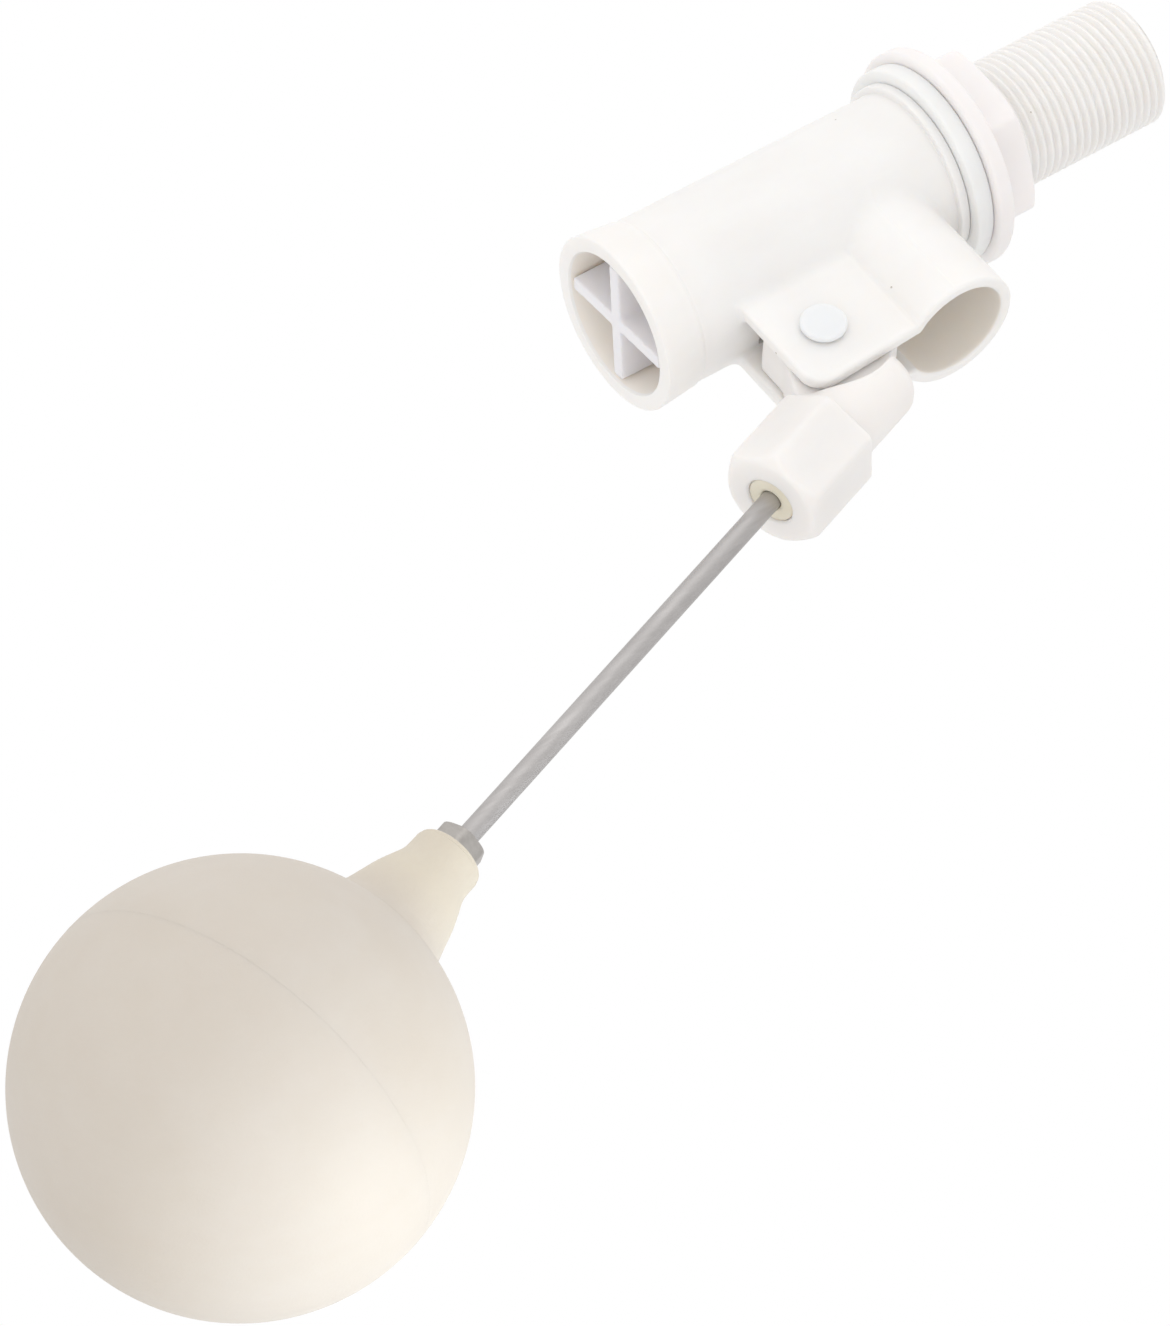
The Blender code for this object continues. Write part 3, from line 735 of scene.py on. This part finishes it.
def piston_cap():
    """The screwed cap, with a fluted grip round its wall."""
    outline = [
        (CAP_START, 8.9, 0.2),
        (CAP_START, CAP_R, 0.4),
        (CAP_END, CAP_R, 0.9),
        (CAP_END, 7.6, 0.3),
        (-23.9, 7.6, 0.2),
        (-23.9, 8.9, 0.2),
    ]

    def grip(x, angle, radius):
        if radius < CAP_R - 0.2 or not CAP_START + 1.0 < x < CAP_END - 1.6:
            return 0.0
        return 0.25 * max(0.0, math.cos(24 * angle)) ** 2

    shape = rounded(outline)
    wall = 2 * (ARC_STEPS + 1)
    shape[wall:wall] = wall_rows(shape[wall - 1], CAP_R, -24.2, 12)
    return turned("piston_cap_looks", shape, WORLD, PISTON_WHITE, 144, grip)


def piston_washer():
    """The rubber disc, dished a little in its middle."""
    outline = [
        (-27.2, 0, 0),
        (-27.2, 8.6, 0.3),
        (-24.2, 8.6, 0.3),
        (-24.2, 6.9, 0.1),
        (-24.35, 6.2, 0.2),
        (-24.35, 0, 0),
    ]
    return turned("piston_washer_looks", rounded(outline), WORLD, SEAL_BLACK, 96)


def float_insert():
    """A blind bush in the float's neck, from its closed end out to its mouth."""
    outline = [(46, 0, 0), (46, 4.2, 0.4), (60.2, 4.2, 0.3), (60.2, 2.25, 0.2), (47.6, 2.25, 0), (47.6, 0, 0)]
    return turned("float_insert_looks", rounded(outline), BALL, BRASS, 64)


def float_rod():
    outline = [
        (ROD_START, 0, 0),
        (ROD_START, ROD_R, 0.35),
        (ROD_FAR_END, ROD_R, 0.35),
        (ROD_FAR_END, 0, 0),
    ]
    return turned("float_rod_looks", rounded(outline), BALL, ROD_STEEL, 48)


def sphere_rows(radius, start_deg, end_deg, rows, bead=0.0):
    """Rows along a sphere; a small weld bead swells it beside its equator."""
    points = []
    for i in range(rows + 1):
        angle = math.radians(start_deg + (end_deg - start_deg) * i / rows)
        along = radius * math.cos(angle)
        swell = bead * math.exp(-((along / 0.55) ** 2))
        points.append((along * (1 + swell / radius), max(0.0, (radius + swell) * math.sin(angle))))
    return points


def float_upper_shell():
    """The half ball on the rod's side, with a waisted neck and the insert's pocket."""
    outside = sphere_rows(BALL_R, 90 - SEAM_OUT_DEG, 84, 10, 0.03) + sphere_rows(BALL_R, 82.5, 21.5, 44)
    waist = [
        (39.4, 12.7),
        (41.2, 11.5),
        (43.4, 10.75),
        (46.0, 10.05),
        (49.5, 9.1),
        (52.5, 8.0),
        (54.6, 7.2),
        (56.4, 6.85),
        (59.4, NECK_R),
    ]
    neck = smooth_line(waist, 5)
    pocket = [
        (NECK_END, NECK_R, 0.7),
        (NECK_END, NECK_BORE_R, 0.4),
        (45.7, NECK_BORE_R, 0.2),
        (45.7, 3.0, 0.2),
    ]
    inside = sphere_rows(BALL_INNER_R, 6, 90 - SEAM_IN_DEG, 30)
    outline = outside + neck + rounded(pocket) + inside
    return turned("float_upper_shell_looks", outline, BALL, FLOAT_CREAM, 160)


def float_lower_shell():
    """The plain half ball."""
    outside = sphere_rows(BALL_R, 90 + SEAM_OUT_DEG, 96, 10, 0.03) + sphere_rows(BALL_R, 97.5, 180, 55)
    inside = sphere_rows(BALL_INNER_R, 180, 90 + SEAM_IN_DEG, 30)
    return turned("float_lower_shell_looks", outside + inside, BALL, FLOAT_CREAM, 160)


# ---------------------------------------------------------------- moulded pieces

def pin_field(points):
    """Drawn along X with the head at -X."""
    x = points[:, 0]
    around = np.hypot(points[:, 1], points[:, 2])
    shank = rod_field(points, PIN_R, -9.5, 9.5, 0.0)
    head = rod_field(points, PIN_HEAD_R, -9.7, -8.3, 0.7)
    barb = np.maximum(around - np.clip(3.1 - (x - 9.1) * 0.45, 0, 3.1), np.maximum(8.3 - x, x - 11.5))
    shape = join(join(shank, head), barb)
    slit = np.maximum(np.abs(points[:, 1]) - 0.45, 5.5 - x)
    return meet(shape, -slit, 0.15)


def pivot_pin():
    place = Matrix.Translation(PIVOT) @ Matrix.Rotation(math.radians(90), 4, "Z")
    low = (-9.8, -4.6, -4.6)
    high = (11.6, 4.6, 4.6)
    return moulded("pivot_pin_looks", pin_field, low, high, 0.2, place, PIN_WHITE)


def piston_field(points):
    """Cross-ribbed tail, two collars, a core slotted for the finger and a spigot for the cap."""
    x, y, z = points.T
    tail = rod_field(points, PISTON_R, -56.0, -52.5, 0.5)
    core = rod_field(points, CORE_R, -53.5, -35.5, 0.0)
    head = rod_field(points, PISTON_R, -36.5, -33.5, 0.5)
    spigot = rod_field(points, SPIGOT_R, -34.5, -27.5, 0.4)
    u = y * math.cos(RIB_TURN) + z * math.sin(RIB_TURN)
    v = z * math.cos(RIB_TURN) - y * math.sin(RIB_TURN)
    draft = (x + 62) * 0.012
    ribs = join(np.abs(u) - RIB_HALF - draft, np.abs(v) - RIB_HALF - draft, 0.7)
    ribs = meet(ribs, np.hypot(y, z) - 13.9, 0.4)
    ribs = meet(ribs, np.maximum(PISTON_TAIL - x, x + 54.5), 0.4)
    shape = join(join(join(tail, core, 0.8), join(head, spigot, 0.5)), ribs, 1.0)
    shape = join(shape, core)
    widen = np.clip((-8.0 - z) / 6.2, 0, 1) * 1.7
    slot = np.maximum(np.abs(x - FINGER_SLOT_X) - 3.2 - widen, z - 1.5)
    slot = np.maximum(slot, np.abs(y) - 4.0)
    return meet(shape, -slot, 0.3)


def piston():
    low = (-70, -14.2, -14.2)
    high = (-27.4, 14.2, 14.2)
    return moulded("piston_looks", piston_field, low, high, 0.4, WORLD, PISTON_WHITE)


def lever_field(points):
    """In the arm's frame: the pin's axis is Y through the origin, the rod lies along X below it."""
    x, y, z = points.T
    side = np.abs(y)
    down = z + ROD_DROP
    around = np.hypot(y, down)
    beyond = np.maximum(x - 0.0, 0)
    boss = np.hypot(beyond, np.maximum(around - 3.9, 0)) - 4.0
    boss = meet(boss, BOSS_END - x, 0.3)
    hub = np.hypot(x, z) - HUB_R
    web = np.maximum(np.maximum(z - 7.0, -down), np.maximum(front_line(x, z), x - 7.0))
    ahead = BLOCK_FRONT - (x * math.cos(ARM_TILT) - z * math.sin(ARM_TILT))
    top = x * math.sin(ARM_TILT) + z * math.cos(ARM_TILT) - BLOCK_TOP
    raised = ARM_TILT - SWING
    stop = x * math.sin(raised) + z * math.cos(raised) - BLOCK_TOP
    block = meet(meet(ahead, stop, 1.2), top, 1.2)
    block = np.maximum(block, np.maximum(-down, x - 2.9))
    core = meet(join(join(hub, web, 1.0), block, 0.6), side - LEVER_HALF, 0.8)
    turned_x = x * math.cos(FINGER_LEAN) - z * math.sin(FINGER_LEAN)
    turned_z = z * math.cos(FINGER_LEAN) + x * math.sin(FINGER_LEAN)
    width = np.clip(3.4 - (turned_z - 7.0) * 0.27, 2.2, 3.4)
    shank = np.maximum(np.abs(turned_x) - width, np.maximum(2 - turned_z, turned_z - FINGER_REACH + 1))
    tip = np.hypot(turned_x, turned_z - FINGER_REACH) - 3.0
    finger = meet(join(shank, tip, 0.8), side - 3.5, 0.5)
    reach = np.hypot(x, z)
    sweep = np.maximum(reach - LEVER_REACH, LEVER_HALF - side)
    body = meet(join(boss, core, 1.2), -sweep, 0.5)
    turns = x / 1.5 - np.arctan2(down, y) / TURN
    stub = rod_field(np.stack([x, y, down], 1), STUB_R, STUB_END, -14.0, 0.5) + 0.55 * thread_wave(turns)
    body = join(join(body, stub), finger, 1.5)
    mouth = around - np.clip(5.4 - (x - STUB_END) * 0.35, 3.9, 5.4)
    mouth = np.maximum(mouth, x + 24.2)
    hole = np.maximum(around - 2.25, x + 0.5)
    body = meet(body, -np.minimum(mouth, hole), 0.2)
    return meet(body, PIN_HOLE_R - reach, 0.3)


def front_line(x, z):
    """The lever's sloping front, from the boss up to the hub."""
    way = Vector((6.0, 6.25)).normalized()
    return -(x - BOSS_END) * way.y + (z + 4.45) * way.x


def lever():
    low = (-28.5, -8, -20.4)
    high = (8.2, 8, 26.6)
    return moulded("lever_looks", lever_field, low, high, 0.34, ARM, LEVER_WHITE)


def collet_field(points):
    """Nose, flange and gripping cone, split in four at the nose."""
    x = points[:, 0]
    around = np.hypot(points[:, 1], points[:, 2])
    nose = rod_field(points, 4.86, COLLET_FRONT, -30.5, 0.5)
    flange = rod_field(points, 7.0, -31.6, -30.0, 0.3)
    cone = np.maximum(around - (5.5 - (x + 30.0) * 0.364), np.maximum(-30.3 - x, x - COLLET_BACK))
    shape = join(join(nose, flange), cone)
    slit = np.minimum(np.abs(points[:, 1]), np.abs(points[:, 2])) - 0.2
    slit = np.maximum(slit, -29.0 - x)
    shape = meet(shape, -slit, 0.1)
    return meet(shape, ROD_R + 0.08 - around, 0.5)


def rod_collet():
    low = (-34.8, -7, -7)
    high = (-24.4, 7, 7)
    return moulded("rod_collet_looks", collet_field, low, high, 0.22, ROD_LINE, COLLET_CREAM)


def gland_field(points):
    """A hexagon turned down at both ends, hollow behind its mouth."""
    x = points[:, 0]
    around = np.hypot(points[:, 1], points[:, 2])
    shape = hexagon_field(points, GLAND_ACROSS, GLAND_TURN_DEG)
    shape = meet(shape, np.maximum(GLAND_FRONT - x, x - GLAND_BACK), 0.5)
    front = (around - 9.3) * 0.72 - (x - GLAND_FRONT) * 0.70
    back = (around - 11.0) * 0.72 + (x - GLAND_BACK) * 0.70
    shape = meet(meet(shape, front, 0.5), back, 0.5)
    hollow = np.maximum(around - 7.5, -31.95 - x)
    hole = np.minimum(hollow, around - 4.9)
    return meet(shape, -hole, 0.4)


def gland_nut():
    low = (-35.1, -11.5, -11.5)
    high = (-15.4, 11.5, 11.5)
    return moulded("gland_nut_looks", gland_field, low, high, 0.33, ROD_LINE, LEVER_WHITE)


def lock_nut_field(points):
    """A hexagon with a crown chamfer at both ends."""
    x = points[:, 0]
    around = np.hypot(points[:, 1], points[:, 2])
    middle = (LOCK_NUT_START + LOCK_NUT_END) / 2
    shape = hexagon_field(points, LOCK_NUT_ACROSS, 12)
    shape = meet(shape, np.maximum(LOCK_NUT_START - x, x - LOCK_NUT_END), 0.15)
    crown = (around - 4.7) * 0.5 + np.abs(x - middle) * 0.87 - 1.55
    shape = meet(shape, crown, 0.15)
    return meet(shape, 2.3 - around, 0.3)


def float_lock_nut():
    low = (60.7, -5.3, -5.3)
    high = (64.5, 5.3, 5.3)
    return moulded("float_lock_nut_looks", lock_nut_field, low, high, 0.15, BALL, NUT_STEEL)


def backnut_field(points):
    """A chamfered hexagon on a round flange; the bore flares at the far end."""
    x = points[:, 0]
    around = np.hypot(points[:, 1], points[:, 2])
    bar = hexagon_field(points, BACKNUT_ACROSS, BACKNUT_TURN_DEG)
    bar = meet(bar, np.maximum(BACKNUT_START + 2.0 - x, x - BACKNUT_END), 0.6)
    chamfer = (around - 17.3) * 0.5 + (x - BACKNUT_END) * 0.87
    bar = meet(bar, chamfer, 0.6)
    flange = rod_field(points, BACKNUT_FLANGE_R, BACKNUT_START, 7.6, 0.9)
    shape = join(bar, flange, 0.8)
    flare = np.clip(13.5 + (x - 15.4), 13.5, 14.3)
    return meet(shape, flare - around, 0.2)


def backnut():
    low = (3.9, -22.7, -22.7)
    high = (16.3, 22.7, 22.7)
    return moulded("backnut_looks", backnut_field, low, high, 0.42, WORLD, NUT_WHITE)


# ---------------------------------------------------------------- put the pieces on the frame

PIECES = [
    (valve_body, "valve_body", "valve", "body_plastic"),
    (seat_nozzle, "seat_nozzle", "valve", "body_plastic"),
    (nozzle_oring, "nozzle_oring", "valve", "seal_rubber"),
    (pivot_pin, "pivot_pin", "valve", "pin_plastic"),
    (piston, "piston", "plunger", "piston_plastic"),
    (piston_cap, "piston_cap", "plunger", "piston_plastic"),
    (piston_washer, "piston_washer", "plunger", "seal_rubber"),
    (lever, "lever", "lever_arm", "body_plastic"),
    (rod_collet, "rod_collet", "collet", "collet_plastic"),
    (gland_nut, "gland_nut", "gland", "body_plastic"),
    (float_rod, "float_rod", "float", "rod_steel"),
    (float_lock_nut, "float_lock_nut", "float", "nut_steel"),
    (float_insert, "float_insert", "float", "insert_brass"),
    (float_upper_shell, "float_upper_shell", "float", "float_plastic"),
    (float_lower_shell, "float_lower_shell", "float", "float_plastic"),
    (tank_washer, "tank_washer", "washer", "washer_plastic"),
    (backnut, "backnut", "nut", "backnut_plastic"),
]

for build, node, body, slot in PIECES:
    piece = build()
    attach(piece, body)
    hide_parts(node)


# ---------------------------------------------------------------- floor, light and camera, in metres

MIDDLE = Vector((-0.03, 0, -0.01))
BRIGHT_SIDE = (0.25, -0.65, -0.72)


def floor():
    """A plain pale floor, lower than the camera."""
    size = 4.0
    level = -0.72
    mesh = bpy.data.meshes.new("floor")
    corners = [(-size, -size, level), (size, -size, level), (size, size, level), (-size, size, level)]
    mesh.from_pydata(corners, [], [(0, 1, 2, 3)])
    made, tree, shader = shader_of("floor_pale", 0.8)
    tint = noise(tree, object_space(tree), 3.0)
    colour = ramp(tree, tint, [(0.3, (0.80, 0.80, 0.80)), (0.7, (0.84, 0.84, 0.84))])
    tree.links.new(colour, shader.inputs["Base Color"])
    mesh.materials.append(made)
    plane = bpy.data.objects.new("floor", mesh)
    bpy.context.scene.collection.objects.link(plane)


def studio_world():
    """White to the camera. As a light it is brighter from below and in front."""
    world = bpy.data.worlds.new("studio")
    bpy.context.scene.world = world
    world.use_nodes = True
    tree = world.node_tree
    tree.nodes.clear()
    out = tree.nodes.new("ShaderNodeOutputWorld")
    seen = tree.nodes.new("ShaderNodeBackground")
    seen.inputs["Color"].default_value = (1, 1, 1, 1)
    seen.inputs["Strength"].default_value = 1.0
    light = tree.nodes.new("ShaderNodeBackground")
    light.inputs["Color"].default_value = (1.0, 0.99, 0.98, 1)
    way = tree.nodes.new("ShaderNodeTexCoord").outputs["Generated"]
    lean = vector(tree, "DOT_PRODUCT", way, BRIGHT_SIDE)
    share = tree.nodes.new("ShaderNodeMapRange")
    share.inputs["From Min"].default_value = -1.0
    share.inputs["To Min"].default_value = 0.90
    share.inputs["To Max"].default_value = 1.27
    tree.links.new(lean, share.inputs["Value"])
    tree.links.new(share.outputs["Result"], light.inputs["Strength"])
    path = tree.nodes.new("ShaderNodeLightPath")
    mix = tree.nodes.new("ShaderNodeMixShader")
    tree.links.new(path.outputs["Is Camera Ray"], mix.inputs["Fac"])
    tree.links.new(light.outputs["Background"], mix.inputs[1])
    tree.links.new(seen.outputs["Background"], mix.inputs[2])
    tree.links.new(mix.outputs["Shader"], out.inputs["Surface"])


def aim_light(light, aim, way, away):
    """Put a light at a distance from a point, in the given direction, and turn it to the point."""
    made = bpy.data.objects.new(light.name, light)
    bpy.context.scene.collection.objects.link(made)
    made.location = aim + Vector(way).normalized() * away
    made.rotation_euler = (aim - made.location).to_track_quat("-Z", "Y").to_euler()


def soft_box(name, way, away, size, power):
    """A square area light on the middle of the valve."""
    light = bpy.data.lights.new(name, "AREA")
    light.size = size
    light.energy = power
    aim_light(light, MIDDLE, way, away)


def float_light():
    """A soft spot on the float alone, from below and behind its right side."""
    light = bpy.data.lights.new("float_side", "SPOT")
    light.energy = 2.2
    light.color = (0.88, 0.95, 1.0)
    light.shadow_soft_size = 0.08
    light.spot_size = math.radians(38)
    light.spot_blend = 0.5
    aim_light(light, BALL.translation * MM, (0.24, 0.14, -0.96), 0.27)


def camera():
    """Seen from the front left, low down, looking up and to the right, with a long lens."""
    right = Vector((0.8175754, -0.0315660, -0.5749557))
    up = Vector((0.4404097, -0.6089759, 0.6596875))
    back = right.cross(up)
    data = bpy.data.cameras.new("camera")
    data.sensor_fit = "VERTICAL"
    data.sensor_height = 36.0
    data.lens = 168.33
    data.clip_end = 20.0
    made = bpy.data.objects.new("camera", data)
    bpy.context.scene.collection.objects.link(made)
    turn = Matrix((right, up, back)).transposed().to_4x4()
    made.matrix_world = Matrix.Translation((-0.5345, -0.8836, -0.6022)) @ turn
    bpy.context.scene.camera = made


floor()
studio_world()
soft_box("key", (0.55, -0.75, 0.45), 1.2, 0.8, 0.5)
soft_box("low", (-0.35, -0.40, -0.85), 0.66, 0.7, 0.8)
float_light()
camera()
bpy.context.scene.view_settings.view_transform = "Standard"
